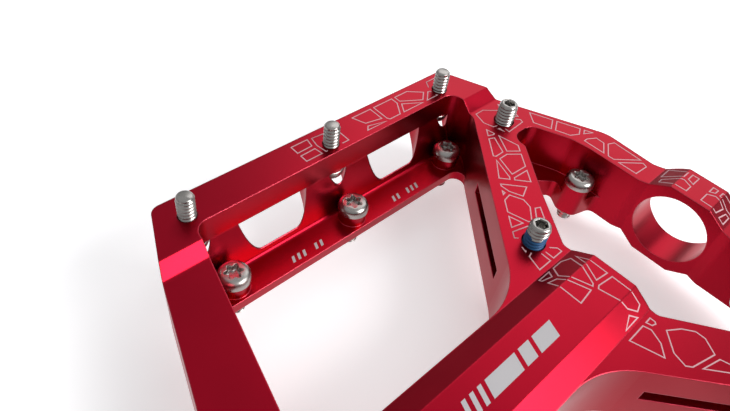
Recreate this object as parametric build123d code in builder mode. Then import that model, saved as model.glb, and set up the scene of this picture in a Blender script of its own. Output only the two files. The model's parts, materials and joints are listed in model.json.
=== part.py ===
from build123d import *
import math
import os

# A flat bicycle pedal. All lengths are in millimetres.
# The origin is where the spindle axis meets the face of the crank arm. +X runs along the spindle,
# away from the crank, +Y is forwards, and +Z is up. Turned 180 degrees about X, the platform is the same.

# Driving dimensions: platform
platform_mid = 64.5  # from the crank face to the middle traction pin
rail_half_span = 53.7  # spindle axis to the outer edge of each rail
rail_top = 8.6  # half the thickness at the rails and over the tube
member_top = 6.45  # half the thickness of the side members and the bow
tube_flat_half = 3.8
tube_foot = 7.4
step_foot = 41.6
step_head = 43.9
rail_inner = 46.8  # inner edge of the rail's outer flange
flange_underside = 3.6  # the pockets and the pin heads end here
ledge_front = 38.6
ledge_corner = 44.6
ledge_level = -4.5
web_bend = 45.3
web_outer_level = 5.0
recess_floor = -2.3
slot_height = 2.4
slot_depth = 2.2

# Driving dimensions: tube, bearings and spindle, as distances along X from the crank face
tube_inboard = 15.5
tube_outboard = 81.5
inboard_bearing_x = 18.5
middle_bearing_x = 30.5
outboard_bearing_x = 67.5
core_bore_r = 5.2
end_chamber_r = 6.52
cap_seat_x = 78.6
cap_seat_r = 7.0
access_hole_r = 7.0

thread_r = 7.14  # 9/16 inch crank thread
thread_length = 13.5
wrench_r = 8.6
wrench_flats = 15.0
wrench_length = 6.2
collar_r = 9.0
collar_x = 6.8
collar_width = 2.0
seal_journal_r = 5.8
neck_r = 4.9
core_r = 3.9
tail_r = 2.98
spindle_end = 78.0

# Driving dimensions: traction pins
pin_r = 1.5  # M3, with heads
pin_hole_r = 1.55
set_pin_r = 2.0  # M4, without heads
set_hole_r = 2.05
set_hole_bottom = -2.6
pin_reach = 4.3  # how far each pin stands out
head_r = 2.9
head_height = 1.9
boss_r = 2.6  # raised boss under each head on the ledges and in the bow
ledge_boss_top = -2.2
bow_boss_top = 0.4
head_bore_r = 3.2
pin_spacing = 29.2
rail_pin_y = 49.3
ledge_pin_spacing = 26.3
ledge_pin_y = 41.8
set_pins = [(35.1, 36.1), (13.3, 12.5)]
bow_pin = (39.4, 18.1)
bow_pin_tip = 9.0
key_flats = 2.0

fit_gap = 0.02  # between parts that are pressed or clamped together
run_gap = 0.05  # between parts that turn against each other

platform_plane = Plane(origin=(platform_mid, 0, 0))
deep = 40.0  # longer than any cut through the platform


def across_x(x):
    """Plane at x whose normal is the spindle axis, with its own x along +Y."""
    return Plane(origin=(x, 0, 0), x_dir=(0, 1, 0), z_dir=(1, 0, 0))


os.makedirs("parts", exist_ok=True)


def save(part, label):
    part.label = label
    export_step(part, "parts/" + label + ".step")


def both_ways(corners):
    """The front half of an outline, then its mirror image behind the spindle, as one closed loop."""
    return corners + [(x, -y, r) for x, y, r in reversed(corners)]


def prism(corners, bottom=-deep / 2, height=deep):
    """An upright block in the platform's frame. Its outline is (x, y, corner radius) triples."""
    with BuildPart() as block:
        with BuildSketch(platform_plane.offset(bottom)):
            with BuildLine():
                FilletPolyline(*[(x, y) for x, y, r in corners], radius=[r for x, y, r in corners], close=True)
            make_face()
        extrude(amount=height)
    return block.part


def section_bar(corners):
    """A bar along X as long as the platform. Its section is (y, z, corner radius) triples."""
    with BuildPart() as bar:
        with BuildSketch(across_x(0)):
            with BuildLine():
                FilletPolyline(*[(y, z) for y, z, r in corners], radius=[r for y, z, r in corners], close=True)
            make_face()
        extrude(amount=platform_mid * 2)
    return bar.part


def turned(corners):
    """A solid turned about the spindle axis, with its outline given as (x, radius) corners."""
    with BuildPart() as solid:
        with BuildSketch(Plane.XY):
            with BuildLine():
                Polyline(*corners, close=True)
            make_face()
        revolve(axis=Axis.X)
    return solid.part


# Outlines seen from above, in the platform's own frame: x, y and corner radius.
outer_half = [
    (-48.9, 9.0, 2.0),
    (-38.0, 42.0, 12.0),
    (-33.0, rail_half_span, 2.0),
    (34.0, rail_half_span, 1.5),
    (38.6, 43.0, 8.0),
    (49.8, 20.5, 6.0),
    (49.3, 9.6, 3.0),
    (51.2, 5.2, 4.0),
]
member_inner = [(30.7, 40.6, 3.0), (1.9, tube_foot + 0.1, 14.0), (-38.7, tube_foot + 0.1, 2.5)]
window_upper = [(-30.2, 41.8, 6.0), (-29.6, rail_inner, 2.5), (30.6, rail_inner, 2.5)] + member_inner
window_lower = [(-31.0, ledge_front, 1.5), (29.0, ledge_front, 2.0)] + member_inner[1:]
gap_half = [
    (17.0, 6.4, 0.6),
    (16.8, 8.8, 1.5),
    (24.6, 19.2, 0.5),
    (31.0, 26.0, 2.0),
    (36.2, 24.6, 2.0),
    (39.1, 22.3, 1.0),
    (37.0, 19.2, 1.5),
    (37.8, 15.9, 1.5),
    (42.6, 14.6, 1.5),
    (42.6, 9.3, 2.0),
    (43.3, 7.4, 1.0),
]
recess = [
    (24.0, 18.4, 0.3),
    (32.2, 28.4, 1.0),
    (32.4, 31.9, 2.7),
    (38.3, 31.9, 2.7),
    (42.0, 24.0, 4.0),
    (42.6, 20.0, 2.0),
    (42.6, 12.0, 0.3),
    (30.0, 12.0, 0.3),
]
pocket = [
    (-7.3, 45.0, 4.2),
    (7.3, 45.0, 4.2),
    (9.6, 60.0, 0.5),
    (-9.6, 60.0, 0.5),
]

# Long slots in the upright faces of the two side members, as end points.
member_slots = [((7.6, 14.2), (21.5, 30.1)), ((-36.9, 15.0), (-32.4, 33.0))]


def platform_profile():
    """Section across the spindle, as (y, z, corner radius): what is left of the rails, members and tube."""
    front_top = [
        (tube_flat_half, rail_top, 0.3),
        (tube_foot, member_top, 0),
        (step_foot, member_top, 0.8),
        (step_head, rail_top, 0.3),
        (rail_half_span + 1, rail_top, 0),
        (rail_half_span + 1, web_outer_level, 0),
        (rail_half_span - 0.8, web_outer_level, 0.5),
        (web_bend, -member_top, 0.5),
        (tube_foot, -member_top, 0),
        (tube_flat_half, -rail_top, 0.3),
    ]
    return front_top + [(-y, -z, r) for y, z, r in front_top]


def front_cuts():
    """Everything milled out of the front half. Turned about X it also cuts the rear half."""
    upper_section = [
        (0, ledge_level, 0),
        (ledge_corner, ledge_level, 0.7),
        (rail_inner, flange_underside, 2.0),
        (rail_inner, deep, 0),
        (0, deep, 0),
    ]
    rail_places = [(n * pin_spacing, rail_pin_y) for n in (-1, 0, 1)]
    ledge_places = [(n * ledge_pin_spacing, ledge_pin_y) for n in (-1, 0, 1)]
    above_ledge = prism(window_upper)
    upper_limit = section_bar(upper_section)
    blocks = [prism(window_lower), prism(recess, recess_floor)]
    for side in (-0.5, 0.5):
        shifted = [(x + side * pin_spacing, y, r) for x, y, r in pocket]
        blocks.append(prism(shifted, -deep / 2, deep / 2 + flange_underside))
    blocks += [long_slot(start, end) for start, end in member_slots]

    with BuildPart() as cuts:
        add(above_ledge)
        add(upper_limit, mode=Mode.INTERSECT)
        add(blocks)
        with BuildSketch(platform_plane.offset(ledge_level)):
            with Locations(*ledge_places):
                Circle(boss_r)
        extrude(amount=ledge_boss_top - ledge_level, mode=Mode.SUBTRACT)
        with BuildSketch(platform_plane.offset(recess_floor)):
            with Locations(bow_pin):
                Circle(boss_r)
        extrude(amount=bow_boss_top - recess_floor, mode=Mode.SUBTRACT)
        with BuildSketch(platform_plane.offset(-deep / 2)):
            with Locations(*rail_places):
                Circle(head_bore_r)
        extrude(amount=deep / 2 + flange_underside)
        with BuildSketch(platform_plane.offset(-deep / 2)):
            with Locations(*rail_places, *ledge_places, bow_pin):
                Circle(pin_hole_r)
        extrude(amount=deep)
        with BuildSketch(platform_plane.offset(set_hole_bottom)):
            with Locations(*set_pins):
                Circle(set_hole_r)
        extrude(amount=deep)
    return cuts.part


def long_slot(start, end):
    """A slot with round ends, centred on the upright face that runs from start to end."""
    length = math.dist(start, end)
    turn = math.degrees(math.atan2(end[1] - start[1], end[0] - start[0]))
    with BuildPart() as slot:
        with BuildSketch(platform_plane.offset(-slot_height / 2)):
            with Locations(Location(((start[0] + end[0]) / 2, (start[1] + end[1]) / 2, 0), (0, 0, turn))):
                SlotOverall(length, slot_depth * 2)
        extrude(amount=slot_height)
    return slot.part


def platform_body():
    blank = prism(both_ways(outer_half))
    section = section_bar(platform_profile())
    gap = prism(both_ways(gap_half))
    cuts = front_cuts()
    with BuildPart() as body:
        add(blank)
        add(section, mode=Mode.INTERSECT)
        add(gap, mode=Mode.SUBTRACT)
        add(cuts, mode=Mode.SUBTRACT)
        add(cuts.rotate(Axis.X, 180), mode=Mode.SUBTRACT)
        for x, length, radius in tube_bores():
            with BuildSketch(across_x(x)):
                Circle(radius)
            extrude(amount=length, mode=Mode.SUBTRACT)
    save(body.part, "platform_body")


def tube_bores():
    """Steps of the spindle tube's bore, and the access hole through the bow: start, length, radius."""
    seat_end = inboard_bearing_x + 4.0
    middle_end = middle_bearing_x + 4.0
    return [
        (tube_inboard - 1, seat_end - tube_inboard + 1, 7.5),
        (seat_end, middle_end - seat_end, 7.0),
        (middle_end, outboard_bearing_x - middle_end, core_bore_r),
        (outboard_bearing_x, tube_outboard - outboard_bearing_x + 1, end_chamber_r),
        (cap_seat_x, tube_outboard - cap_seat_x + 1, cap_seat_r),
        (platform_mid + 41.0, 15.0, access_hole_r),
    ]


def spindle():
    inboard_shoulder = inboard_bearing_x
    neck_end = middle_bearing_x
    neck_start = inboard_bearing_x + 4.2
    wrench_end = wrench_length
    collar_end = collar_x + collar_width
    blank = turned([
        (-thread_length, 0),
        (-thread_length, thread_r - 1.0),
        (-thread_length + 1.0, thread_r),
        (0, thread_r),
        (0, wrench_r - 0.4),
        (0.4, wrench_r),
        (wrench_end, wrench_r),
        (wrench_end, wrench_r - 0.6),
        (collar_x, wrench_r - 0.6),
        (collar_x, collar_r - 0.3),
        (collar_x + 0.3, collar_r),
        (collar_end - 0.3, collar_r),
        (collar_end, collar_r - 0.3),
        (collar_end + 0.5, 7.4),
        (collar_end + 1.2, 6.4),
        (collar_end + 2.2, seal_journal_r + 0.1),
        (collar_end + 3.2, seal_journal_r),
        (inboard_shoulder, seal_journal_r),
        (inboard_shoulder, 5.0 - fit_gap),
        (neck_start, 5.0 - fit_gap),
        (neck_start, neck_r),
        (neck_end, neck_r),
        (neck_end, 4.0 - fit_gap),
        (neck_end + 4.2, 4.0 - fit_gap),
        (neck_end + 4.2, core_r),
        (outboard_bearing_x, core_r),
        (outboard_bearing_x, tail_r),
        (spindle_end - 0.5, tail_r),
        (spindle_end, tail_r - 0.5),
        (spindle_end, 0),
    ])
    with BuildPart() as shaft:
        add(blank)
        with BuildSketch(across_x(0)):
            Circle(wrench_r + 2)
            Rectangle(wrench_r * 3, wrench_flats, mode=Mode.SUBTRACT)
        extrude(amount=wrench_end, mode=Mode.SUBTRACT)
        with BuildSketch(across_x(-thread_length)):
            RegularPolygon(3.0, 6, major_radius=False)
        extrude(amount=7.0, mode=Mode.SUBTRACT)
    save(shaft.part, "spindle")


bearings = {
    # name: start along X, width, bore radius, outer radius, ball radius, number of balls
    "inboard": (inboard_bearing_x, 4.0, 5.0, 7.5, 0.75, 15),
    "middle": (middle_bearing_x, 4.0, 4.0, 7.0, 0.85, 11),
    "outboard": (outboard_bearing_x, 5.0, 3.0, 6.5, 1.0, 8),
}


def bearing(name):
    start, width, bore, outside, ball, count = bearings[name]
    middle = start + width / 2
    pitch = (bore + outside) / 2
    land = 0.55 * ball  # distance from the pitch circle to each ring's plain surface
    groove = ball + 0.03
    seat = across_x(start)

    with BuildPart() as outer_ring:
        with BuildSketch(seat):
            Circle(outside - fit_gap)
            Circle(pitch + land, mode=Mode.SUBTRACT)
        extrude(amount=width)
        with BuildSketch(Plane.XY):
            with Locations((middle, pitch)):
                Circle(groove)
        revolve(axis=Axis.X, mode=Mode.SUBTRACT)
    save(outer_ring.part, name + "_bearing_outer_ring")

    with BuildPart() as inner_ring:
        with BuildSketch(seat):
            Circle(pitch - land)
            Circle(bore, mode=Mode.SUBTRACT)
        extrude(amount=width)
        with BuildSketch(Plane.XY):
            with Locations((middle, pitch)):
                Circle(groove)
        revolve(axis=Axis.X, mode=Mode.SUBTRACT)
    save(inner_ring.part, name + "_bearing_inner_ring")

    with BuildPart() as balls:
        with Locations(across_x(middle)):
            with PolarLocations(pitch, count):
                Sphere(ball)
    save(balls.part, name + "_bearing_balls")

    cage_half = 0.3 * ball
    cage_width = ball * 2 + 0.5
    with BuildPart() as cage:
        with BuildSketch(across_x(middle - cage_width / 2)):
            Circle(pitch + cage_half)
            Circle(pitch - cage_half, mode=Mode.SUBTRACT)
        extrude(amount=cage_width)
        with Locations(across_x(middle)):
            with PolarLocations(pitch, count):
                Cylinder(groove, ball * 2, rotation=(0, 90, 0), mode=Mode.SUBTRACT)
    save(cage.part, name + "_bearing_cage")

    with BuildPart() as seals:
        for x in (start + 0.25, start + width - 0.65):
            with BuildSketch(across_x(x)):
                Circle(pitch + land - fit_gap)
                Circle(pitch - land + run_gap, mode=Mode.SUBTRACT)
            extrude(amount=0.4)
    save(seals.part, name + "_bearing_seals")


def lip_seal():
    rim = 7.5 - fit_gap
    lip = seal_journal_r + run_gap
    start = tube_inboard + 0.1
    end = inboard_bearing_x - 0.3
    seal = turned([
        (start, lip + 0.5),
        (start, rim),
        (end, rim),
        (end, rim - 0.7),
        (start + 1.1, rim - 0.7),
        (start + 1.1, lip + 0.6),
        (end - 0.5, lip),
        (start + 0.5, lip),
    ])
    save(seal, "lip_seal")


def bearing_spacer():
    start = inboard_bearing_x + 4.0
    with BuildPart() as sleeve:
        with BuildSketch(across_x(start)):
            Circle(7.0 - fit_gap)
            Circle(6.2, mode=Mode.SUBTRACT)
        extrude(amount=middle_bearing_x - start)
    save(sleeve.part, "bearing_spacer")


def lock_hardware():
    washer_x = outboard_bearing_x + 5.0
    nut_x = washer_x + 0.8
    with BuildPart() as washer:
        with BuildSketch(across_x(washer_x)):
            Circle(4.4)
            Circle(tail_r + fit_gap, mode=Mode.SUBTRACT)
        extrude(amount=nut_x - washer_x)
    save(washer.part, "lock_washer")

    with BuildPart() as nut:
        with BuildSketch(across_x(nut_x)):
            RegularPolygon(5.0, 6, major_radius=False)
            Circle(tail_r + fit_gap, mode=Mode.SUBTRACT)
        extrude(amount=3.6)
        rims = nut.edges().filter_by(GeomType.LINE).group_by(Axis.X)
        chamfer(rims[0] + rims[-1], 0.4)
    save(nut.part, "lock_nut")


def end_cap():
    cap_r = cap_seat_r - fit_gap
    blank = turned([
        (cap_seat_x + 0.6, 0),
        (cap_seat_x + 0.6, 5.4),
        (cap_seat_x - 0.2, 5.4),
        (cap_seat_x - 0.2, end_chamber_r - 0.1),
        (cap_seat_x + fit_gap, end_chamber_r - 0.1),
        (cap_seat_x + fit_gap, cap_r),
        (cap_seat_x + 0.95, cap_r),
        (cap_seat_x + 0.95, cap_r - 0.8),
        (cap_seat_x + 1.85, cap_r - 0.8),
        (cap_seat_x + 1.85, cap_r),
        (tube_outboard - 0.5, cap_r),
        (tube_outboard - 0.1, cap_r - 0.4),
        (tube_outboard - 0.1, 0),
    ])
    with BuildPart() as cap:
        add(blank)
        with BuildSketch(across_x(tube_outboard - 0.1)):
            RegularPolygon(3.0, 6, major_radius=False)
        extrude(amount=-1.6, mode=Mode.SUBTRACT)
    save(cap.part, "end_cap")

    with BuildPart() as ring:
        with BuildSketch(Plane.XY):
            with Locations((cap_seat_x + 1.4, cap_r - 0.39)):
                Circle(0.38)
        revolve(axis=Axis.X)
    save(ring.part, "end_cap_o_ring")


def pin_blank(x, y, corners):
    """A solid turned about an upright axis at (x, y), with its outline as (radius, z) corners."""
    with BuildPart() as solid:
        with BuildSketch(Plane(origin=(platform_mid + x, y, 0), x_dir=(1, 0, 0), z_dir=(0, -1, 0))):
            with BuildLine():
                Polyline(*corners, close=True)
            make_face()
        revolve(axis=Axis((platform_mid + x, y, 0), (0, 0, 1)))
    return solid.part


def headed_pin(x, y, base, tip):
    """A headed traction pin. Its head rests on the level called base, and its tip ends at tip."""
    up = 1 if tip > base else -1
    crown = base - up * head_height
    blank = pin_blank(x, y, [
        (0, tip),
        (pin_r - 0.35, tip),
        (pin_r, tip - up * 0.35),
        (pin_r, base),
        (head_r, base),
        (head_r, base - up * 0.6),
        (head_r - 0.3, base - up * 1.1),
        (head_r - 0.8, base - up * 1.6),
        (head_r - 1.5, crown),
        (0, crown),
    ])
    with BuildPart() as pin:
        add(blank)
        with BuildSketch(Plane(origin=(platform_mid + x, y, crown))):
            RegularPolygon(0.85, 6)
        extrude(amount=up * 1.0, mode=Mode.SUBTRACT)
    return pin.part


def set_pin(x, y, tip, tail):
    """A headless traction pin with a hexagon socket in its standing end."""
    up = 1 if tip > tail else -1
    blank = pin_blank(x, y, [
        (0, tip),
        (set_pin_r - 0.4, tip),
        (set_pin_r, tip - up * 0.4),
        (set_pin_r, tail + up * 0.4),
        (set_pin_r - 0.4, tail),
        (0, tail),
    ])
    with BuildPart() as pin:
        add(blank)
        with BuildSketch(Plane(origin=(platform_mid + x, y, tip))):
            RegularPolygon(key_flats / 2, 6, major_radius=False)
        extrude(amount=-up * 1.6, mode=Mode.SUBTRACT)
    return pin.part


def pin_set(made, label):
    with BuildPart() as pins:
        add(made)
    save(pins.part, label)


def traction_pins():
    """Nine pins stand on each side. The rear ones are the front ones turned about the spindle."""
    for name, turn in (("front", 1), ("rear", -1)):
        rail, ledge, member = [], [], []
        for n in (-1, 0, 1):
            rail.append(headed_pin(n * pin_spacing, turn * rail_pin_y, turn * flange_underside,
                                   turn * (rail_top + pin_reach)))
            ledge.append(headed_pin(n * ledge_pin_spacing, turn * ledge_pin_y, turn * ledge_boss_top,
                                    -turn * (member_top + pin_reach)))
        for x, y in set_pins:
            member.append(set_pin(x, turn * y, turn * (member_top + pin_reach), -turn * member_top * 0.35))
        bow = headed_pin(bow_pin[0], turn * bow_pin[1], turn * bow_boss_top, -turn * bow_pin_tip)
        pin_set(rail, name + "_rail_pins")
        pin_set(ledge, name + "_ledge_pins")
        pin_set(member, name + "_member_pins")
        pin_set(bow, name + "_bow_pin")


platform_body()
spindle()
for name in bearings:
    bearing(name)
lip_seal()
bearing_spacer()
lock_hardware()
end_cap()
traction_pins()
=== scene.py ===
import json
import math
import random

import bmesh
import bpy
from mathutils import Matrix, Vector


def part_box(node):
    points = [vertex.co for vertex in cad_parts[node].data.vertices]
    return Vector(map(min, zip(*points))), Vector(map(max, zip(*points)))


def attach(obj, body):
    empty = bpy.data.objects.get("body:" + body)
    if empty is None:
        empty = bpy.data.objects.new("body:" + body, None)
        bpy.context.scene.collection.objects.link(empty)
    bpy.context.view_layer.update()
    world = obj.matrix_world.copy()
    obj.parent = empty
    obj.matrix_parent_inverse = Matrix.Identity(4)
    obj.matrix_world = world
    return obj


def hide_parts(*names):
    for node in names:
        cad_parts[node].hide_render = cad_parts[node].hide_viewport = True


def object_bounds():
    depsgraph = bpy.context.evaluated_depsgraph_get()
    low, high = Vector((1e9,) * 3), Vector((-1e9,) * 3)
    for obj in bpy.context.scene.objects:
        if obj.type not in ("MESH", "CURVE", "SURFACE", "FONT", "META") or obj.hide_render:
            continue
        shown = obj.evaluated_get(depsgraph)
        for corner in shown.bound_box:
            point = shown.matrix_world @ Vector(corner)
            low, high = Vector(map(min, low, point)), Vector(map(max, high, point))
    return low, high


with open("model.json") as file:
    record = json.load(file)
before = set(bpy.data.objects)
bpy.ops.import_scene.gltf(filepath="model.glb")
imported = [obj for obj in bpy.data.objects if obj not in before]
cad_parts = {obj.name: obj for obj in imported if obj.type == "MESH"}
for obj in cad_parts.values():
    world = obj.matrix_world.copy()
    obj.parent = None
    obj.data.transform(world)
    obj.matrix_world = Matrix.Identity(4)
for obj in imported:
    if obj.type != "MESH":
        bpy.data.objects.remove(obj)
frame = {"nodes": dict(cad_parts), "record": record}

bl_info = {
    "name": "Flat pedal finish",
    "version": (1, 0, 0),
    "blender": (4, 5, 0),
    "location": "View3D > Sidebar > Pedal",
    "description": "Threaded traction pins, spindle, etched lines and finishes for a flat bicycle pedal",
    "category": "Object",
}

MM = 0.001
TURN = 2 * math.pi
cad_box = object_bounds()

# Places taken from the frame, and heights in mm. MID_X is the middle of the rails, along the spindle.
rail_low, rail_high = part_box("front_rail_pins")
MID_X = (rail_low.x + rail_high.x) / 2
TREAD_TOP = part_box("platform_body")[1].z / MM
MEMBER_DROP = 2.15
MEMBER_TOP = TREAD_TOP - MEMBER_DROP
LEDGE_LEVEL = -4.5

# The tread face in section: distance forwards of the spindle, and height, in mm.
TREAD_PROFILE = [
    (-46.0, MEMBER_TOP), (-7.4, MEMBER_TOP), (-3.8, TREAD_TOP), (3.8, TREAD_TOP),
    (7.4, MEMBER_TOP), (41.6, MEMBER_TOP), (43.9, TREAD_TOP), (60.0, TREAD_TOP),
]

SHARP_ANGLE = math.radians(38)


# ---------------------------------------------------------------- settings

class PedalPinSettings(bpy.types.PropertyGroup):
    radius: bpy.props.FloatProperty(
        name="Thread radius", description="Outside radius of a traction pin's thread, in mm", default=1.5)
    pitch: bpy.props.FloatProperty(
        name="Thread pitch", description="Distance between the turns of the thread, in mm", default=0.7)
    depth: bpy.props.FloatProperty(
        name="Thread depth", description="Depth of the thread's grooves, in mm", default=0.27)
    head_radius: bpy.props.FloatProperty(
        name="Head radius", description="Radius of a button head, in mm", default=2.9)
    head_height: bpy.props.FloatProperty(
        name="Head height", description="Height of a button head, in mm", default=1.9)
    headless_radius: bpy.props.FloatProperty(
        name="Headless pin radius", description="Radius of a headless pin, in mm", default=2.0)
    glue_height: bpy.props.FloatProperty(
        name="Thread lock height", description="How far the thread lock stands above the tread, in mm",
        default=2.0)


class PedalSpindleSettings(bpy.types.PropertyGroup):
    thread_radius: bpy.props.FloatProperty(
        name="Crank thread radius", description="Outside radius of the crank thread, in mm", default=7.14)
    thread_pitch: bpy.props.FloatProperty(
        name="Crank thread pitch", description="Pitch of the crank thread, in mm", default=1.27)
    wrench_flats: bpy.props.FloatProperty(
        name="Wrench flats", description="Distance across the wrench flats, in mm", default=15.0)


class PedalEtchSettings(bpy.types.PropertyGroup):
    line_width: bpy.props.FloatProperty(
        name="Line width", description="Width of an etched line, in mm", default=0.21)
    cell_size: bpy.props.FloatProperty(
        name="Cell size", description="Usual distance between the middles of two cells, in mm", default=6.2)
    cell_gap: bpy.props.FloatProperty(
        name="Cell gap", description="Distance between two neighbouring cells, in mm", default=0.68)
    left_out: bpy.props.FloatProperty(
        name="Left out", description="Share of the cells that is left out", default=0.08, min=0.0, max=1.0)
    lift: bpy.props.FloatProperty(
        name="Lift", description="Height of the lines above the metal, in mm", default=0.012)
    seed: bpy.props.IntProperty(
        name="Seed", description="Start of the random draw that lays out the cells", default=5)


class PedalFinishSettings(bpy.types.PropertyGroup):
    body_colour: bpy.props.FloatVectorProperty(
        name="Anodised colour", description="Colour of the dyed metal", subtype="COLOR", size=4,
        default=(0.40, 0.0035, 0.019, 1.0))
    body_roughness: bpy.props.FloatProperty(
        name="Anodised roughness", description="Roughness of the dyed metal", default=0.31,
        min=0.0, max=1.0)
    etch_colour: bpy.props.FloatVectorProperty(
        name="Etched colour", description="Colour of the etched lines", subtype="COLOR", size=4,
        default=(0.62, 0.36, 0.39, 1.0))


class PedalStageSettings(bpy.types.PropertyGroup):
    camera_place: bpy.props.FloatVectorProperty(
        name="Camera place", description="Camera place from the middle of the platform, in mm", size=3,
        default=(-57.57, -10.94, 80.25))
    lens: bpy.props.FloatProperty(
        name="Lens", description="Focal length on a 36 mm wide sensor, in mm", default=29.9)
    key_power: bpy.props.FloatProperty(
        name="Key power", description="Power of the large soft light", default=4.3, unit="POWER")
    far_share: bpy.props.FloatProperty(
        name="Far light", description="Power of the far light, as a share of the key power", default=0.28)
    zenith: bpy.props.FloatProperty(
        name="Zenith", description="Strength of the room's light from overhead", default=0.6)
    horizon: bpy.props.FloatProperty(
        name="Horizon", description="Strength of the room's light from the sides", default=0.25)


# ---------------------------------------------------------------- meshes

def in_platform(x, y, z):
    """A place given in mm from the middle of the platform, in metres in the row's frame."""
    return Vector((MID_X + x * MM, y * MM, z * MM))


def new_piece(name, bm, body, materials):
    """Turns a bmesh into a smooth-shaded object that rides on a body."""
    mesh = bpy.data.meshes.new(name)
    bm.normal_update()
    bm.to_mesh(mesh)
    bm.free()
    for material in materials:
        mesh.materials.append(bpy.data.materials[material])
    mesh.shade_smooth()
    mesh.set_sharp_from_angle(angle=SHARP_ANGLE)
    piece = bpy.data.objects.new(name, mesh)
    bpy.context.scene.collection.objects.link(piece)
    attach(piece, body)
    return piece


def round_at(radius):
    """A round ring."""
    return lambda angle, height: radius


def six_sided(half_flats):
    """A hexagonal ring, from half its width across flats."""
    return lambda angle, height: half_flats / math.cos((angle + math.pi / 6) % (math.pi / 3) - math.pi / 6)


def two_flats(radius, half_flats):
    """A round ring with two flats, on opposite sides."""
    return lambda angle, height: min(radius, half_flats / max(0.1, abs(math.cos(angle))))


def six_lobed(radius, swing):
    """A ring with six rounded lobes."""
    return lambda angle, height: radius + swing * math.cos(6 * angle)


def helical(radius, depth, pitch):
    """A V-shaped thread, narrower by depth at the bottom of its groove."""
    def rule(angle, height):
        phase = (height / pitch - angle / TURN) % 1.0
        return radius - depth * min(1.0, max(0.0, 1.35 * abs(2 * phase - 1) - 0.1))
    return rule


def plain_rings(outline):
    """Round rings from (height, radius) pairs."""
    return [(height, round_at(radius)) for height, radius in outline]


def thread_rings(start, end, rule, step):
    count = max(2, round(abs(end - start) / step))
    return [(start + (end - start) * n / count, rule) for n in range(count + 1)]


def turn_rings(bm, rings, place, around=36, slots=()):
    """Skins a stack of rings, each (height in mm, radius rule). A rule of None makes a closing point."""
    stack = []
    for height, rule in rings:
        if rule is None:
            stack.append([bm.verts.new(place @ Vector((0, 0, height)))])
            continue
        loop = []
        for n in range(around):
            angle = TURN * n / around
            radius = rule(angle, height)
            corner = Vector((radius * math.cos(angle), radius * math.sin(angle), height))
            loop.append(bm.verts.new(place @ corner))
        stack.append(loop)
    for index in range(len(stack) - 1):
        lower, upper = stack[index], stack[index + 1]
        for n in range(around):
            m = (n + 1) % around
            if len(lower) == 1:
                corners = [lower[0], upper[m], upper[n]]
            elif len(upper) == 1:
                corners = [lower[n], lower[m], upper[0]]
            else:
                corners = [lower[n], lower[m], upper[m], upper[n]]
            face = bm.faces.new(corners)
            if index in slots:
                face.material_index = 1


def upright(x, y, z, up):
    """Matrix in metres from a pin's own mm, with its axis along Z, pointing up or down."""
    turn = Matrix.Identity(4) if up > 0 else Matrix.Rotation(math.pi, 4, "X")
    return Matrix.Translation(Vector((x, y, z))) @ turn @ Matrix.Scale(MM, 4)


# ---------------------------------------------------------------- node groups

def new_group(name, inputs, outputs):
    group = bpy.data.node_groups.new(name, "ShaderNodeTree")
    for label, kind, default in inputs:
        socket = group.interface.new_socket(name=label, in_out="INPUT", socket_type=kind)
        if default is not None:
            socket.default_value = default
    for label, kind in outputs:
        group.interface.new_socket(name=label, in_out="OUTPUT", socket_type=kind)
    source = group.nodes.new("NodeGroupInput")
    target = group.nodes.new("NodeGroupOutput")
    return group, source, target


def build_grain_group():
    """Fine blasted grain and slow cloudiness, in the object's own coordinates."""
    group, source, target = new_group(
        "blasted_grain",
        [("Grain Scale", "NodeSocketFloat", 2600.0), ("Cloud Scale", "NodeSocketFloat", 60.0),
         ("Low", "NodeSocketFloat", 0.3), ("High", "NodeSocketFloat", 0.4)],
        [("Height", "NodeSocketFloat"), ("Roughness", "NodeSocketFloat"), ("Cloud", "NodeSocketFloat")])
    add, link = group.nodes.new, group.links.new
    where = add("ShaderNodeTexCoord")
    grain = add("ShaderNodeTexNoise")
    grain.inputs["Detail"].default_value = 3.0
    cloud = add("ShaderNodeTexNoise")
    cloud.inputs["Detail"].default_value = 4.0
    spread = add("ShaderNodeMapRange")
    spread.inputs["From Min"].default_value = 0.35
    spread.inputs["From Max"].default_value = 0.65
    link(where.outputs["Object"], grain.inputs["Vector"])
    link(where.outputs["Object"], cloud.inputs["Vector"])
    link(source.outputs["Grain Scale"], grain.inputs["Scale"])
    link(source.outputs["Cloud Scale"], cloud.inputs["Scale"])
    link(cloud.outputs["Fac"], spread.inputs["Value"])
    link(source.outputs["Low"], spread.inputs["To Min"])
    link(source.outputs["High"], spread.inputs["To Max"])
    link(grain.outputs["Fac"], target.inputs["Height"])
    link(spread.outputs["Result"], target.inputs["Roughness"])
    link(cloud.outputs["Fac"], target.inputs["Cloud"])


def build_edge_group():
    """Softened normals along sharp edges, and a mask that is 1 on the edges, used to paint highlights
    there.
    """
    group, source, target = new_group(
        "soft_edges",
        [("Radius", "NodeSocketFloat", 0.0003), ("Gain", "NodeSocketFloat", 8.0)],
        [("Normal", "NodeSocketVector"), ("Edge", "NodeSocketFloat")])
    add, link = group.nodes.new, group.links.new
    soft = add("ShaderNodeBevel")
    soft.samples = 6
    geometry = add("ShaderNodeNewGeometry")
    same = add("ShaderNodeVectorMath")
    same.operation = "DOT_PRODUCT"
    turned = add("ShaderNodeMath")
    turned.operation = "SUBTRACT"
    turned.inputs[0].default_value = 1.0
    scaled = add("ShaderNodeMath")
    scaled.operation = "MULTIPLY"
    scaled.use_clamp = True
    link(source.outputs["Radius"], soft.inputs["Radius"])
    link(soft.outputs["Normal"], same.inputs[0])
    link(geometry.outputs["Normal"], same.inputs[1])
    link(same.outputs["Value"], turned.inputs[1])
    link(turned.outputs["Value"], scaled.inputs[0])
    link(source.outputs["Gain"], scaled.inputs[1])
    link(soft.outputs["Normal"], target.inputs["Normal"])
    link(scaled.outputs["Value"], target.inputs["Edge"])


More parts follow.
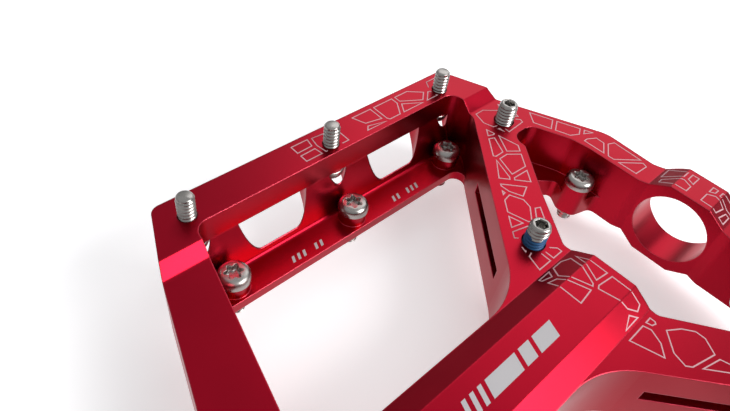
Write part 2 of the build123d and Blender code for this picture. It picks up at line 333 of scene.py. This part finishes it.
def build_lathe_group():
    """Fine rings left by turning, along the spindle axis."""
    group, source, target = new_group(
        "turning_rings",
        [("Scale", "NodeSocketFloat", 900.0)],
        [("Height", "NodeSocketFloat"), ("Streak", "NodeSocketFloat")])
    add, link = group.nodes.new, group.links.new
    where = add("ShaderNodeTexCoord")
    stretch = add("ShaderNodeMapping")
    stretch.inputs["Scale"].default_value = (1.0, 0.02, 0.02)
    rings = add("ShaderNodeTexNoise")
    rings.inputs["Detail"].default_value = 5.0
    link(where.outputs["Object"], stretch.inputs["Vector"])
    link(stretch.outputs["Vector"], rings.inputs["Vector"])
    link(source.outputs["Scale"], rings.inputs["Scale"])
    link(rings.outputs["Fac"], target.inputs["Height"])
    link(rings.outputs["Fac"], target.inputs["Streak"])


# ---------------------------------------------------------------- materials

def new_material(name):
    material = bpy.data.materials.new(name)
    material.use_nodes = True
    shader = material.node_tree.nodes["Principled BSDF"]
    return material, material.node_tree.nodes.new, material.node_tree.links.new, shader


def place_group(add, name, **values):
    node = add("ShaderNodeGroup")
    node.node_tree = bpy.data.node_groups[name]
    for label, value in values.items():
        node.inputs[label.replace("_", " ")].default_value = value
    return node


def grained(name, dark, light, low, high, metallic, grain_scale=2600.0, bump=0.05, cloud_scale=60.0,
            edge_radius=0.0003, edge_highlight_share=0.35, edge_highlight_colour=None):
    """A finish with cloudy colour, grain in its normal, and a painted highlight that lightens its edges."""
    material, add, link, shader = new_material(name)
    grain = place_group(add, "blasted_grain", Grain_Scale=grain_scale, Cloud_Scale=cloud_scale,
                        Low=low, High=high)
    edges = place_group(add, "soft_edges", Radius=edge_radius)
    colour = add("ShaderNodeMix")
    colour.data_type = "RGBA"
    colour.inputs["A"].default_value = dark
    colour.inputs["B"].default_value = light
    # Painted highlight: the edge mask mixes the colour towards a lighter one, standing in for light caught
    # on the machined edges.
    painted_edge_highlight = add("ShaderNodeMix")
    painted_edge_highlight.data_type = "RGBA"
    painted_edge_highlight.inputs["B"].default_value = edge_highlight_colour or light
    highlight_amount = add("ShaderNodeMath")
    highlight_amount.operation = "MULTIPLY"
    highlight_amount.inputs[1].default_value = edge_highlight_share
    bump_node = add("ShaderNodeBump")
    bump_node.inputs["Strength"].default_value = bump
    bump_node.inputs["Distance"].default_value = 0.0001
    link(grain.outputs["Cloud"], colour.inputs["Factor"])
    link(colour.outputs["Result"], painted_edge_highlight.inputs["A"])
    link(edges.outputs["Edge"], highlight_amount.inputs[0])
    link(highlight_amount.outputs["Value"], painted_edge_highlight.inputs["Factor"])
    link(painted_edge_highlight.outputs["Result"], shader.inputs["Base Color"])
    link(grain.outputs["Roughness"], shader.inputs["Roughness"])
    link(grain.outputs["Height"], bump_node.inputs["Height"])
    link(edges.outputs["Normal"], bump_node.inputs["Normal"])
    link(bump_node.outputs["Normal"], shader.inputs["Normal"])
    shader.inputs["Metallic"].default_value = metallic
    return material, shader


def turned_steel(name, dark, light, low, high, bump):
    """Steel with the fine rings of a lathe."""
    material, add, link, shader = new_material(name)
    rings = place_group(add, "turning_rings")
    edges = place_group(add, "soft_edges", Radius=0.0003)
    colour = add("ShaderNodeMix")
    colour.data_type = "RGBA"
    colour.inputs["A"].default_value = dark
    colour.inputs["B"].default_value = light
    rough = add("ShaderNodeMapRange")
    rough.inputs["To Min"].default_value = low
    rough.inputs["To Max"].default_value = high
    bump_node = add("ShaderNodeBump")
    bump_node.inputs["Strength"].default_value = bump
    bump_node.inputs["Distance"].default_value = 0.0001
    link(rings.outputs["Streak"], colour.inputs["Factor"])
    link(colour.outputs["Result"], shader.inputs["Base Color"])
    link(rings.outputs["Streak"], rough.inputs["Value"])
    link(rough.outputs["Result"], shader.inputs["Roughness"])
    link(rings.outputs["Height"], bump_node.inputs["Height"])
    link(edges.outputs["Normal"], bump_node.inputs["Normal"])
    link(bump_node.outputs["Normal"], shader.inputs["Normal"])
    shader.inputs["Metallic"].default_value = 1.0
    return material, shader


SLOT_FINISH = {
    "anodised_red": "anodised_red_metal",
    "anodised_black": "anodised_black_metal",
    "bare_aluminium": "turned_aluminium",
    "pin_steel": "zinc_plated_steel",
    "spindle_steel": "turned_steel",
    "bearing_steel": "ground_steel",
    "cage_nylon": "moulded_nylon",
    "seal_rubber": "matte_rubber",
}


class PEDAL_OT_finishes(bpy.types.Operator):
    """Makes every finish and gives each part of the frame its own"""
    bl_idname = "pedal.finishes"
    bl_label = "Finishes"

    def execute(self, context):
        settings = context.scene.pedal_finish
        build_grain_group()
        build_edge_group()
        build_lathe_group()
        red = tuple(settings.body_colour)
        deep_red = tuple(c * 0.86 for c in red[:3]) + (1.0,)
        rough = settings.body_roughness
        # The pink edge colour of the red metal is a painted highlight along its machined edges.
        _, shader = grained("anodised_red_metal", deep_red, red, rough - 0.03, rough + 0.05, 1.0,
                            edge_radius=0.00028, edge_highlight_share=0.5, edge_highlight_colour=(0.85, 0.12, 0.18, 1.0))
        shader.inputs["Coat Weight"].default_value = 0.06
        shader.inputs["Coat Roughness"].default_value = 0.28
        shader.inputs["Coat IOR"].default_value = 1.6
        grained("etched_oxide", tuple(0.85 * c for c in settings.etch_colour[:3]) + (1.0,),
                tuple(settings.etch_colour), 0.5, 0.65, 0.25, grain_scale=5200.0, bump=0.12, edge_highlight_share=0.0)
        grained("etched_grey", (0.42, 0.40, 0.41, 1), (0.52, 0.50, 0.51, 1), 0.5, 0.65, 0.3,
                grain_scale=5200.0, bump=0.12, edge_highlight_share=0.0)
        grained("anodised_black_metal", (0.02, 0.02, 0.022, 1), (0.035, 0.035, 0.038, 1), 0.34, 0.42, 0.9,
                edge_highlight_colour=(0.3, 0.3, 0.31, 1))
        turned_steel("turned_aluminium", (0.66, 0.66, 0.68, 1), (0.8, 0.8, 0.82, 1), 0.25, 0.38, 0.1)
        grained("zinc_plated_steel", (0.27, 0.255, 0.245, 1), (0.5, 0.475, 0.45, 1), 0.2, 0.36, 1.0,
                grain_scale=1400.0, bump=0.12, cloud_scale=500.0, edge_radius=0.00008, edge_highlight_share=0.3,
                edge_highlight_colour=(0.68, 0.66, 0.64, 1))
        grained("pin_recess", (0.22, 0.21, 0.2, 1), (0.5, 0.48, 0.46, 1), 0.18, 0.34, 1.0,
                cloud_scale=900.0, edge_highlight_share=0.2)
        turned_steel("turned_steel", (0.40, 0.40, 0.41, 1), (0.62, 0.62, 0.64, 1), 0.24, 0.4, 0.14)
        grained("ground_steel", (0.6, 0.6, 0.62, 1), (0.75, 0.75, 0.77, 1), 0.08, 0.16, 1.0, bump=0.02)
        grained("moulded_nylon", (0.45, 0.38, 0.27, 1), (0.55, 0.47, 0.34, 1), 0.45, 0.6, 0.0, bump=0.08)
        grained("matte_rubber", (0.012, 0.012, 0.012, 1), (0.03, 0.03, 0.03, 1), 0.6, 0.8, 0.0, bump=0.2)
        grained("thread_lock_blue", (0.006, 0.055, 0.15, 1), (0.014, 0.13, 0.32, 1), 0.4, 0.55, 0.1,
                grain_scale=1800.0, bump=0.3, cloud_scale=700.0, edge_highlight_share=0.0)
        for entry in frame["record"]["subparts"]:
            node = frame["nodes"][entry["node"]]
            finish = bpy.data.materials[SLOT_FINISH[entry["material_slot"]]]
            if not node.material_slots:
                raise RuntimeError("no material slot on " + entry["node"])
            for place in node.material_slots:
                place.link = "OBJECT"
                place.material = finish
        return {"FINISHED"}


# ---------------------------------------------------------------- traction pins

def pin_centres(node, radius):
    """Middle of each pin of a node, as (x, y) in metres. The box gives the two end ones."""
    low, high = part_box(node)
    edge = radius * MM
    y = (low.y + high.y) / 2
    left, right = low.x + edge, high.x - edge
    if right - left < 2 * edge:
        return [((low.x + high.x) / 2, y)]
    return [(left, y), ((left + right) / 2, y), (right, y)]


def headed_rings(settings, length):
    """From the crown of the head, through the six-lobed recess and the thread, to the flat tip."""
    crown = -settings.head_height
    head, radius = settings.head_radius, settings.radius
    rule = helical(radius, settings.depth, settings.pitch)
    rings = [(crown + 1.0, None), (crown + 0.95, six_lobed(1.05, 0.2)),
             (crown + 0.14, six_lobed(1.32, 0.27)), (crown, six_lobed(1.42, 0.28)),
             (crown, round_at(head - 1.0)), (crown + 0.05, round_at(head - 0.8)),
             (crown + 0.17, round_at(head - 0.55)), (crown + 0.38, round_at(head - 0.3)),
             (crown + 0.65, round_at(head - 0.13)), (crown + 0.95, round_at(head - 0.03)),
             (crown + 1.2, round_at(head)), (-0.1, round_at(head)), (0.0, round_at(head - 0.1)),
             (0.0, round_at(radius - 0.05))]
    rings += thread_rings(0.05, length - 0.45, rule, settings.pitch / 8)
    rings += [(length - 0.2, round_at(radius - 0.18)), (length - 0.04, round_at(radius - 0.36)),
              (length, round_at(radius - 0.44)), (length, None)]
    return rings


def headless_rings(settings, length):
    """From the blind end, through the thread, to the hexagon recess in the tip."""
    radius = settings.headless_radius - 0.12
    rule = helical(radius, settings.depth * 1.1, settings.pitch)
    rings = [(0.0, None), (0.0, round_at(radius - 0.4)), (0.3, round_at(radius - 0.1))]
    rings += thread_rings(0.35, length - 0.5, rule, settings.pitch / 8)
    rings += [(length - 0.22, round_at(radius - 0.2)), (length - 0.05, round_at(radius - 0.38)),
              (length, round_at(radius - 0.48)), (length, six_sided(1.06)), (length - 0.1, six_sided(1.0)),
              (length - 1.7, six_sided(0.98)), (length - 1.9, None)]
    return rings


class PEDAL_OT_headed_pins(bpy.types.Operator):
    """Traction pins with button heads, through the rails, the ledges and the bow"""
    bl_idname = "pedal.headed_pins"
    bl_label = "Headed pins"

    def execute(self, context):
        settings = context.scene.pedal_pins
        for side, sense in (("front", 1), ("rear", -1)):
            for kind, up in (("rail_pins", sense), ("ledge_pins", -sense), ("bow_pin", -sense)):
                node = side + "_" + kind
                low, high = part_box(node)
                length = (high.z - low.z) / MM - settings.head_height
                base = (high.z - length * MM) if up > 0 else (low.z + length * MM)
                rings = headed_rings(settings, length)
                bm = bmesh.new()
                for index, (x, y) in enumerate(pin_centres(node, settings.head_radius)):
                    spin = Matrix.Rotation(0.7 * index + 0.4 * sense, 4, "Z")
                    turn_rings(bm, rings, upright(x, y, base, up) @ spin, slots=(0, 1))
                piece = new_piece(node + "_threaded", bm, "platform",
                                  ["zinc_plated_steel", "pin_recess"])
                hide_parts(node)
        return {"FINISHED"}


class PEDAL_OT_headless_pins(bpy.types.Operator):
    """Headless traction pins in the side members, two of them with blue thread lock"""
    bl_idname = "pedal.headless_pins"
    bl_label = "Headless pins"

    def execute(self, context):
        settings = context.scene.pedal_pins
        for side, sense in (("front", 1), ("rear", -1)):
            node = side + "_member_pins"
            low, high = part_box(node)
            edge = settings.headless_radius * MM
            length = (high.z - low.z) / MM
            near, far = (low.y + edge, high.y - edge) if sense > 0 else (high.y - edge, low.y + edge)
            base = low.z if sense > 0 else high.z
            rings = headless_rings(settings, length)
            bm = bmesh.new()
            recess = len(rings) - 3
            for index, (x, y) in enumerate(((low.x + edge, near), (high.x - edge, far))):
                spin = Matrix.Rotation(0.3 + 0.9 * index, 4, "Z")
                turn_rings(bm, rings, upright(x, y, base, sense) @ spin, slots=(recess, recess + 1))
            tread = sense * MEMBER_TOP * MM
            glue_x = low.x + edge
            for face in bm.faces:
                middle = face.calc_center_median()
                above = (middle.z - tread) * sense / MM
                ragged = 0.35 * math.sin(math.atan2(middle.y - near, middle.x - glue_x) * 3.0)
                if abs(middle.x - glue_x) < 3 * MM and above < settings.glue_height + ragged:
                    face.material_index = 2
            piece = new_piece(node + "_threaded", bm, "platform",
                              ["zinc_plated_steel", "pin_recess", "thread_lock_blue"])
            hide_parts(node)
        return {"FINISHED"}


# ---------------------------------------------------------------- spindle

# From behind the wrench flats to the outboard journal: distance along the spindle, and radius, in mm.
COLLAR_AND_JOURNALS = [
    (6.2, 8.0), (6.8, 8.0), (6.8, 8.7), (7.1, 9.0), (8.5, 9.0), (8.8, 8.7), (8.95, 8.2), (9.15, 7.6),
    (9.5, 7.05), (10.0, 6.55), (10.6, 6.2), (11.4, 5.95), (12.4, 5.8), (18.5, 5.8), (18.5, 4.98),
    (22.7, 4.98), (22.7, 4.9), (30.5, 4.9), (30.5, 3.98), (34.7, 3.98), (34.7, 3.9), (67.5, 3.9),
    (67.5, 2.98),
]


class PEDAL_OT_spindle(bpy.types.Operator):
    """Spindle with its crank thread, wrench flats, collar and stepped journals"""
    bl_idname = "pedal.spindle"
    bl_label = "Spindle"

    def execute(self, context):
        settings = context.scene.pedal_spindle
        low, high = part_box("spindle")
        start, end = low.x / MM, high.x / MM
        radius, pitch = settings.thread_radius, settings.thread_pitch
        half_flats = settings.wrench_flats / 2
        flats = two_flats(8.6, half_flats)
        small_flats = two_flats(8.2, half_flats)
        rings = [(start + 7.0, None), (start + 7.0, six_sided(2.95)), (start + 0.25, six_sided(3.0)),
                 (start, six_sided(3.25))]
        rings += plain_rings([(start, radius - 1.3), (start + 0.3, radius - 1.0),
                              (start + 1.0, radius - 0.35)])
        rings += thread_rings(start + 1.1, -1.7, helical(radius, 0.62, pitch), pitch / 10)
        rings += plain_rings([(-1.5, radius - 0.75), (-1.2, radius - 0.9), (0.0, radius - 0.9)])
        rings += [(0.0, small_flats), (0.4, flats), (5.9, flats), (6.2, small_flats)]
        rings += plain_rings(COLLAR_AND_JOURNALS + [(end - 0.5, 2.98), (end, 2.5)]) + [(end, None)]
        along = Matrix.Rotation(math.pi / 2, 4, "Y") @ Matrix.Scale(MM, 4)
        bm = bmesh.new()
        turn_rings(bm, rings, along, around=96)
        piece = new_piece("spindle_threaded", bm, "spindle", ["turned_steel"])
        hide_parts("spindle")
        return {"FINISHED"}


# ---------------------------------------------------------------- etched lines

def tread_height(y):
    """Height of the tread face, in mm, at a distance forwards of the spindle."""
    for (y0, z0), (y1, z1) in zip(TREAD_PROFILE, TREAD_PROFILE[1:]):
        if y <= y1:
            return z0 + (z1 - z0) * max(0.0, y - y0) / (y1 - y0)
    return TREAD_TOP


def clip(polygon, point, normal):
    """The part of a convex polygon on the side of a line that the normal points away from."""
    kept = []
    for a, b in zip(polygon, polygon[1:] + polygon[:1]):
        da, db = (a - point).dot(normal), (b - point).dot(normal)
        if da <= 0:
            kept.append(a)
        if (da < 0 < db) or (db < 0 < da):
            kept.append(a + (b - a) * (da / (da - db)))
    return kept


def inset(polygon, distance):
    """A convex, anticlockwise polygon with every side moved inwards."""
    result = polygon
    for a, b in zip(polygon, polygon[1:] + polygon[:1]):
        side = b - a
        if side.length < 1e-6 or len(result) < 3:
            continue
        outward = Vector((side.y, -side.x)).normalized()
        result = clip(result, a - outward * distance, outward)
    return tidy(result)


def tidy(polygon, least=0.5):
    """A polygon without its corners that lie closer than least to the one before."""
    kept = []
    for corner in polygon:
        if not kept or (corner - kept[-1]).length > least:
            kept.append(corner)
    while len(kept) > 1 and (kept[0] - kept[-1]).length <= least:
        kept.pop()
    return kept


# How far a cell's middle may lie from its place in the grid, as a share of the cell size.
SEED_SHIFT = 0.42


def cells(region, size, draw):
    """Irregular cells that fill a convex region."""
    xs, ys = [p.x for p in region], [p.y for p in region]
    seeds = []
    y = min(ys)
    row = 0
    while y < max(ys) + size:
        x = min(xs) + (row % 2) * size / 2
        while x < max(xs) + size:
            shift_x = draw.uniform(-SEED_SHIFT, SEED_SHIFT) * size
            shift_y = draw.uniform(-SEED_SHIFT, SEED_SHIFT) * size
            seeds.append(Vector((x + shift_x, y + shift_y)))
            x += size
        y += size * 0.85
        row += 1
    found = []
    for seed in seeds:
        cell = list(region)
        for other in seeds:
            gap = other - seed
            if other is not seed and gap.length < size * 4 and len(cell) > 2:
                cell = clip(cell, (seed + other) / 2, gap.normalized())
        if len(cell) > 2:
            found.append(cell)
    return found


def offset_corner(before, corner, after, distance):
    """A corner moved inwards, so that the two sides that meet there move by distance."""
    first = (corner - before).normalized()
    second = (after - corner).normalized()
    normal = Vector((-first.y, first.x)) + Vector((-second.y, second.x))
    if normal.length < 0.2:
        return corner
    normal.normalize()
    return corner + normal * (distance / max(0.35, normal.dot(Vector((-first.y, first.x)))))


STEP = 0.4  # longest stretch of an etched line that is laid flat, in mm


def etch_loop(bm, polygon, width, lift, avoid, turned):
    """A closed line of even width, laid on the tread face in short lengths."""
    count = len(polygon)
    inner = [offset_corner(polygon[n - 1], polygon[n], polygon[(n + 1) % count], width)
             for n in range(count)]
    for n in range(count):
        m = (n + 1) % count
        steps = max(1, math.ceil((polygon[m] - polygon[n]).length / STEP))
        for k in range(steps):
            s, t = k / steps, (k + 1) / steps
            quad = [polygon[n].lerp(polygon[m], s), polygon[n].lerp(polygon[m], t),
                    inner[n].lerp(inner[m], t), inner[n].lerp(inner[m], s)]
            middle = sum(quad, Vector((0, 0))) / 4
            if any((middle - place).length < reach for place, reach in avoid):
                continue
            etch_quad(bm, quad, lift, turned)


def etch_quad(bm, quad, lift, turned, level=None):
    """Four corners laid on the tread face, or at a level of their own, in mm."""
    corners = []
    for p in quad:
        z = (tread_height(p.y) if level is None else level) + lift
        corners.append(bm.verts.new(in_platform(p.x, -p.y, -z) if turned else in_platform(p.x, p.y, z)))
    bm.faces.new(corners)


def bar(x, y, length, height, slant):
    """A slanted bar, as four corners in the plan."""
    return [Vector((x, y)), Vector((x + length, y)), Vector((x + length + slant, y + height)),
            Vector((x + slant, y + height))]


# How far from a pin's middle the lines stop, in mm.
HEADED_CLEAR = 2.2
HEADLESS_CLEAR = 2.7

# Convex stretches of the front tread face that carry cells: corners in mm from the platform's middle.
FRONT_REGIONS = [
    [(-7.0, 47.6), (30.0, 47.6), (32.6, 52.9), (-7.0, 52.9)],
    [(10.6, 15.0), (16.0, 9.8), (24.4, 20.4), (19.6, 25.3)],
    [(20.0, 25.8), (24.8, 20.9), (31.6, 29.3), (29.9, 37.2)],
    [(30.4, 38.0), (32.2, 32.6), (38.2, 33.0), (40.4, 38.4), (38.0, 41.2), (31.4, 41.2)],
    [(39.2, 32.0), (42.4, 24.6), (48.4, 21.6), (41.6, 35.8)],
    [(43.3, 23.4), (43.4, 10.0), (48.6, 9.6), (49.0, 20.4)],
    [(6.6, -7.4), (15.9, -7.4), (15.9, 7.4), (6.6, 7.4)],
    [(8.5, 7.8), (15.8, 7.8), (15.8, 9.3), (10.5, 14.0)],
    [(44.2, 1.0), (50.4, 1.0), (50.2, 7.2), (44.0, 7.2)],
]
# Bars on the tube and slashes on the ledges, in mm along the spindle from the middle of the platform.
FIRST_BAR = -20.0
BAR_LENGTHS = (0.8, 0.8, 0.8, 6.5, 2.4, 4.4)
BAR_GAP = 0.8
LEDGE_SLASHES = (-15.5, -14.3, -13.1, -10.4, -9.2, 9.4, 10.6, 13.3, 14.5, 15.7)
REAR_REGIONS = [1, 2, 3, 4, 5, 7, 8]


class PEDAL_OT_etching(bpy.types.Operator):
    """Etched cells on the tread faces and plain bars on the tube"""
    bl_idname = "pedal.etching"
    bl_label = "Etched lines"

    def execute(self, context):
        settings = context.scene.pedal_etch
        draw = random.Random(settings.seed)
        lift = settings.lift
        pin_settings = context.scene.pedal_pins
        pins = []
        for node in ("front_rail_pins", "rear_ledge_pins", "rear_bow_pin"):
            for x, y in pin_centres(node, pin_settings.head_radius):
                pins.append((Vector(((x - MID_X) / MM, y / MM)), HEADED_CLEAR))
        low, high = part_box("front_member_pins")
        edge = pin_settings.headless_radius
        near = Vector(((low.x - MID_X) / MM + edge, low.y / MM + edge))
        far = Vector(((high.x - MID_X) / MM - edge, high.y / MM - edge))
        for place in (near, far):
            pins.append((place, HEADLESS_CLEAR))
        front = [[Vector(p) for p in region] for region in FRONT_REGIONS]
        rear = [[Vector((p.x, -p.y)) for p in reversed(front[n])] for n in REAR_REGIONS]
        loops = []
        for region in front + rear:
            for cell in cells(region, settings.cell_size, draw):
                outline = inset(cell, settings.cell_gap / 2)
                if len(outline) > 2 and draw.random() > settings.left_out:
                    loops.append(outline)
        for turned, name in ((False, "etched_cells_top"), (True, "etched_cells_bottom")):
            bm = bmesh.new()
            for outline in loops:
                etch_loop(bm, outline, settings.line_width, lift, pins, turned)
            new_piece(name, bm, "platform", ["etched_oxide"])
            bm = bmesh.new()
            x = FIRST_BAR
            for length in BAR_LENGTHS:
                etch_quad(bm, bar(x, -1.3, length, 2.6, 1.0), lift, turned)
                x += length + BAR_GAP
            for x in LEDGE_SLASHES:
                etch_quad(bm, bar(x, 39.7, 0.55, 1.3, 0.5), lift, turned, LEDGE_LEVEL)
            new_piece(name.replace("cells", "bars"), bm, "platform", ["etched_grey"])
        return {"FINISHED"}


# ---------------------------------------------------------------- stage

FLOOR_GAP = 0.2 * MM


def area_light(name, place, aim, width, height, power):
    data = bpy.data.lights.new(name, "AREA")
    data.shape = "RECTANGLE"
    data.size, data.size_y = width, height
    data.energy = power
    light = bpy.data.objects.new(name, data)
    light.location = place
    light.rotation_mode = "QUATERNION"
    light.rotation_quaternion = (Vector(aim) - Vector(place)).to_track_quat("-Z", "Y")
    bpy.context.scene.collection.objects.link(light)


class PEDAL_OT_stage(bpy.types.Operator):
    """Pale floor, soft lights and the camera"""
    bl_idname = "pedal.stage"
    bl_label = "Stage"

    def execute(self, context):
        settings = context.scene.pedal_stage
        scene = context.scene
        low = cad_box[0]
        floor_mesh = bpy.data.meshes.new("floor")
        bm = bmesh.new()
        bmesh.ops.create_grid(bm, x_segments=1, y_segments=1, size=4.0)
        bm.to_mesh(floor_mesh)
        bm.free()
        floor = bpy.data.objects.new("floor", floor_mesh)
        floor.location = (MID_X, 0, low.z - FLOOR_GAP)
        scene.collection.objects.link(floor)
        material, _, _, shader = new_material("pale_floor")
        shader.inputs["Base Color"].default_value = (0.86, 0.86, 0.87, 1)
        shader.inputs["Roughness"].default_value = 0.9
        shader.inputs["Specular IOR Level"].default_value = 0.1
        shader.inputs["Emission Color"].default_value = (1, 1, 1, 1)
        shader.inputs["Emission Strength"].default_value = 0.42
        floor_mesh.materials.append(material)

        world = bpy.data.worlds.new("soft_room")
        scene.world = world
        world.use_nodes = True
        add, link = world.node_tree.nodes.new, world.node_tree.links.new
        where = add("ShaderNodeTexCoord")
        parts = add("ShaderNodeSeparateXYZ")
        fade = add("ShaderNodeMapRange")
        fade.inputs["To Min"].default_value = settings.horizon
        fade.inputs["To Max"].default_value = settings.zenith
        background = world.node_tree.nodes["Background"]
        background.inputs["Color"].default_value = (0.97, 0.98, 1.0, 1)
        link(where.outputs["Generated"], parts.inputs["Vector"])
        link(parts.outputs["Z"], fade.inputs["Value"])
        link(fade.outputs["Result"], background.inputs["Strength"])

        middle = Vector((MID_X, 0, 0))
        area_light("key_soft", middle + Vector((0.24, -0.49, 0.43)), middle, 0.38, 0.38, settings.key_power)
        area_light("far_soft", middle + Vector((0.52, 0.24, 0.46)), middle, 0.6, 0.5,
                   settings.key_power * settings.far_share)

        camera_data = bpy.data.cameras.new("camera")
        camera_data.sensor_width = 36.0
        camera_data.lens = settings.lens
        camera_data.clip_start = 0.005
        camera = bpy.data.objects.new("camera", camera_data)
        right = Vector((0.7323, -0.6722, 0.1089))
        up = Vector((0.4352, 0.5849, 0.6844))
        back = Vector((-0.5238, -0.4538, 0.7209))
        turn = Matrix((right, up, back)).transposed().to_4x4()
        x, y, z = settings.camera_place
        camera.matrix_world = Matrix.Translation(in_platform(x, y, z)) @ turn
        scene.collection.objects.link(camera)
        scene.camera = camera
        scene.view_settings.view_transform = "Standard"
        return {"FINISHED"}


# ---------------------------------------------------------------- panel and registration

class PEDAL_PT_panel(bpy.types.Panel):
    """Lists the pedal's pieces"""
    bl_idname = "PEDAL_PT_panel"
    bl_label = "Flat pedal"
    bl_space_type = "VIEW_3D"
    bl_region_type = "UI"
    bl_category = "Pedal"

    def draw(self, context):
        for operator in OPERATORS:
            self.layout.operator(operator.bl_idname)
        for group in SETTINGS:
            values = getattr(context.scene, group)
            for name in values.__annotations__:
                self.layout.prop(values, name)


SETTINGS = {
    "pedal_pins": PedalPinSettings,
    "pedal_spindle": PedalSpindleSettings,
    "pedal_etch": PedalEtchSettings,
    "pedal_finish": PedalFinishSettings,
    "pedal_stage": PedalStageSettings,
}
OPERATORS = [
    PEDAL_OT_finishes,
    PEDAL_OT_headed_pins,
    PEDAL_OT_headless_pins,
    PEDAL_OT_spindle,
    PEDAL_OT_etching,
    PEDAL_OT_stage,
]


def register():
    for item in [*SETTINGS.values(), *OPERATORS, PEDAL_PT_panel]:
        bpy.utils.register_class(item)
    for name, group in SETTINGS.items():
        setattr(bpy.types.Scene, name, bpy.props.PointerProperty(type=group))


def unregister():
    for name in SETTINGS:
        delattr(bpy.types.Scene, name)
    for item in reversed([*SETTINGS.values(), *OPERATORS, PEDAL_PT_panel]):
        bpy.utils.unregister_class(item)


def main():
    register()
    for operator in OPERATORS:
        group, name = operator.bl_idname.split(".")
        getattr(getattr(bpy.ops, group), name)()


if __name__ == "__main__":
    main()
